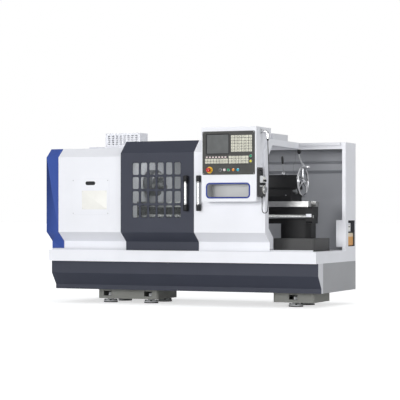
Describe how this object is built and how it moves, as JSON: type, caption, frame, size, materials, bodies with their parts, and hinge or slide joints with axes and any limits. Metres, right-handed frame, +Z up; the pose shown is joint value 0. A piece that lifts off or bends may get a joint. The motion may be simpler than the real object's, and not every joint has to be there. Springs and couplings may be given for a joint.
{
  "type": "cnc lathe",
  "caption": "Flat-bed CNC lathe behind folded sheet-metal guards, with sliding doors, a hung control box, chip tray, chuck, carriage and tailstock.",
  "frame": {"origin": "centre of the overall box on the floor", "axes": "+X towards the tailstock end, +Z up, operator on the -Y side"},
  "size_m": [2.7, 1.408, 1.655],
  "materials": {
    "white_paint": "smooth satin enamel",
    "dark_paint": "satin enamel",
    "blue_paint": "satin enamel",
    "grey_paint": "satin enamel",
    "back_paint": "satin enamel",
    "casting": "painted casting",
    "machined": "ground and turned",
    "bright": "polished",
    "black_plastic": "matt",
    "panel_face": "matt film",
    "screen": "glossy",
    "keys": "matt",
    "pane": "clear",
    "red_plastic": "glossy",
    "green_plastic": "glossy",
    "yellow_plastic": "glossy",
    "white_plastic": "glossy",
    "oil_tank": "translucent amber",
    "belt_rubber": "matt"
  },
  "bodies": {
    "frame": {"left_pedestal": "grey_paint", "right_pedestal": "grey_paint", "levelling_feet": "casting", "bed": "casting", "chip_tray": "white_paint", "front_skirt": "dark_paint", "base_panels": "grey_paint", "headstock": "casting", "spindle_bearings": "machined", "headstock_cover": "white_paint", "left_end_cover": "blue_paint", "access_panel": "white_paint", "spindle_partition": "white_paint", "main_motor": "grey_paint", "drive_belt": "belt_rubber", "electrical_cabinet": "white_paint", "resistor_box": "white_paint", "rear_guard": "back_paint", "right_end_wall": "white_paint", "lubricator": "oil_tank", "guard_rails": "machined", "screw_brackets": "casting"},
    "cabinet_door": {"cabinet_door": "white_paint"},
    "spindle": {"spindle": "machined", "chuck_body": "machined", "spindle_pulley": "casting"},
    "jaw_1": {"chuck_jaw_1": "machined"},
    "jaw_2": {"chuck_jaw_2": "machined"},
    "jaw_3": {"chuck_jaw_3": "machined"},
    "motor_pulley": {"motor_pulley": "casting"},
    "z_ball_screw": {"z_ball_screw": "machined"},
    "carriage": {"saddle": "casting"},
    "cross_slide": {"cross_slide": "casting"},
    "tool_turret": {"tool_turret": "machined"},
    "left_guard": {"left_door": "dark_paint", "door_window": "pane", "left_handle": "black_plastic"},
    "right_guard": {"right_door": "white_paint", "right_handle": "black_plastic", "control_box": "white_paint", "control_panel": "panel_face", "lcd_screen": "screen", "panel_keys": "keys", "pocket_trim": "blue_paint", "cable_duct": "grey_paint", "mpg_pendant": "black_plastic", "conduit_elbow": "black_plastic", "mpg_cable": "belt_rubber"},
    "estop_button": {"estop_button": "red_plastic"},
    "button_white": {"button_white": "white_plastic"},
    "button_green": {"button_green": "green_plastic"},
    "key_switch": {"key_switch": "machined"},
    "start_button": {"start_button": "green_plastic"},
    "hold_button": {"hold_button": "yellow_plastic"},
    "mpg_dial": {"mpg_dial": "black_plastic"},
    "tailstock": {"tailstock_base": "casting", "tailstock_body": "white_paint"},
    "quill": {"quill": "machined"},
    "handwheel": {"handwheel": "bright"},
    "clamp_lever": {"clamp_lever": "bright"}
  },
  "joints": [
    {"name": "left_guard_slide", "type": "slide", "parent": "frame", "child": "left_guard", "axis": [1, 0, 0], "range_m": [-0.7, 0]},
    {"name": "right_guard_slide", "type": "slide", "parent": "frame", "child": "right_guard", "axis": [1, 0, 0], "range_m": [0, 0.44]},
    {"name": "cabinet_door_hinge", "type": "hinge", "parent": "frame", "child": "cabinet_door", "pos_m": [-1.343, 0.697, 1], "axis": [0, 0, 1], "range_deg": [0, 110]},
    {"name": "spindle_spin", "type": "hinge", "parent": "frame", "child": "spindle", "pos_m": [-0.7, 0.075, 1.148], "axis": [1, 0, 0], "continuous": true},
    {"name": "motor_spin", "type": "hinge", "parent": "frame", "child": "motor_pulley", "pos_m": [-1.05, 0.075, 0.265], "axis": [1, 0, 0], "continuous": true},
    {"name": "jaw_1_slide", "type": "slide", "parent": "spindle", "child": "jaw_1", "axis": [0, 0.2588, 0.9659], "range_m": [-0.012, 0.012]},
    {"name": "jaw_2_slide", "type": "slide", "parent": "spindle", "child": "jaw_2", "axis": [0, -0.9659, -0.2588], "range_m": [-0.012, 0.012]},
    {"name": "jaw_3_slide", "type": "slide", "parent": "spindle", "child": "jaw_3", "axis": [0, 0.7071, -0.7071], "range_m": [-0.012, 0.012]},
    {"name": "screw_spin", "type": "hinge", "parent": "frame", "child": "z_ball_screw", "pos_m": [0.3, -0.1, 0.824], "axis": [1, 0, 0], "range_deg": [-15030, 18030]},
    {"name": "carriage_slide", "type": "slide", "parent": "frame", "child": "carriage", "axis": [1, 0, 0], "range_m": [-0.25, 0.3]},
    {"name": "cross_slide_travel", "type": "slide", "parent": "carriage", "child": "cross_slide", "axis": [0, 1, 0], "range_m": [-0.06, 0.07]},
    {"name": "turret_index", "type": "hinge", "parent": "cross_slide", "child": "tool_turret", "pos_m": [0.06, -0.115, 1.14], "axis": [0, 0, 1], "continuous": true},
    {"name": "tailstock_slide", "type": "slide", "parent": "frame", "child": "tailstock", "axis": [1, 0, 0], "range_m": [0, 0.12]},
    {"name": "handwheel_spin", "type": "hinge", "parent": "tailstock", "child": "handwheel", "pos_m": [1, 0.075, 1.148], "axis": [1, 0, 0], "range_deg": [0, 8640]},
    {"name": "quill_slide", "type": "slide", "parent": "tailstock", "child": "quill", "axis": [-1, 0, 0], "range_m": [-0.0002, 0.1202]},
    {"name": "clamp_lever_turn", "type": "hinge", "parent": "tailstock", "child": "clamp_lever", "pos_m": [0.855, 0.075, 1.22], "axis": [0, 0, 1], "range_deg": [0, 60]},
    {"name": "estop_button_press", "type": "slide", "parent": "right_guard", "child": "estop_button", "axis": [0, 1, 0], "range_m": [0, 0.008], "stiffness_N_per_m": 900},
    {"name": "button_white_press", "type": "slide", "parent": "right_guard", "child": "button_white", "axis": [0, 1, 0], "range_m": [0, 0.004], "stiffness_N_per_m": 500},
    {"name": "button_green_press", "type": "slide", "parent": "right_guard", "child": "button_green", "axis": [0, 1, 0], "range_m": [0, 0.004], "stiffness_N_per_m": 500},
    {"name": "start_button_press", "type": "slide", "parent": "right_guard", "child": "start_button", "axis": [0, 1, 0], "range_m": [0, 0.004], "stiffness_N_per_m": 500},
    {"name": "hold_button_press", "type": "slide", "parent": "right_guard", "child": "hold_button", "axis": [0, 1, 0], "range_m": [0, 0.004], "stiffness_N_per_m": 500},
    {"name": "key_switch_turn", "type": "hinge", "parent": "right_guard", "child": "key_switch", "pos_m": [0.52924, -0.659, 1.242], "axis": [0, 1, 0], "range_deg": [0, 90]},
    {"name": "mpg_dial_turn", "type": "hinge", "parent": "right_guard", "child": "mpg_dial", "pos_m": [0.93, -0.586, 1.064], "axis": [1, 0, 0], "continuous": true}
  ],
  "couplings": [
    {"joint": "motor_spin", "follows": "spindle_spin", "ratio": 1.5385},
    {"joint": "jaw_2_slide", "follows": "jaw_1_slide", "ratio": 1},
    {"joint": "jaw_3_slide", "follows": "jaw_1_slide", "ratio": 1},
    {"joint": "screw_spin", "follows": "carriage_slide", "rad_per_m": 1047.2},
    {"joint": "quill_slide", "follows": "handwheel_spin", "m_per_rad": 0.00079577}
  ]
}
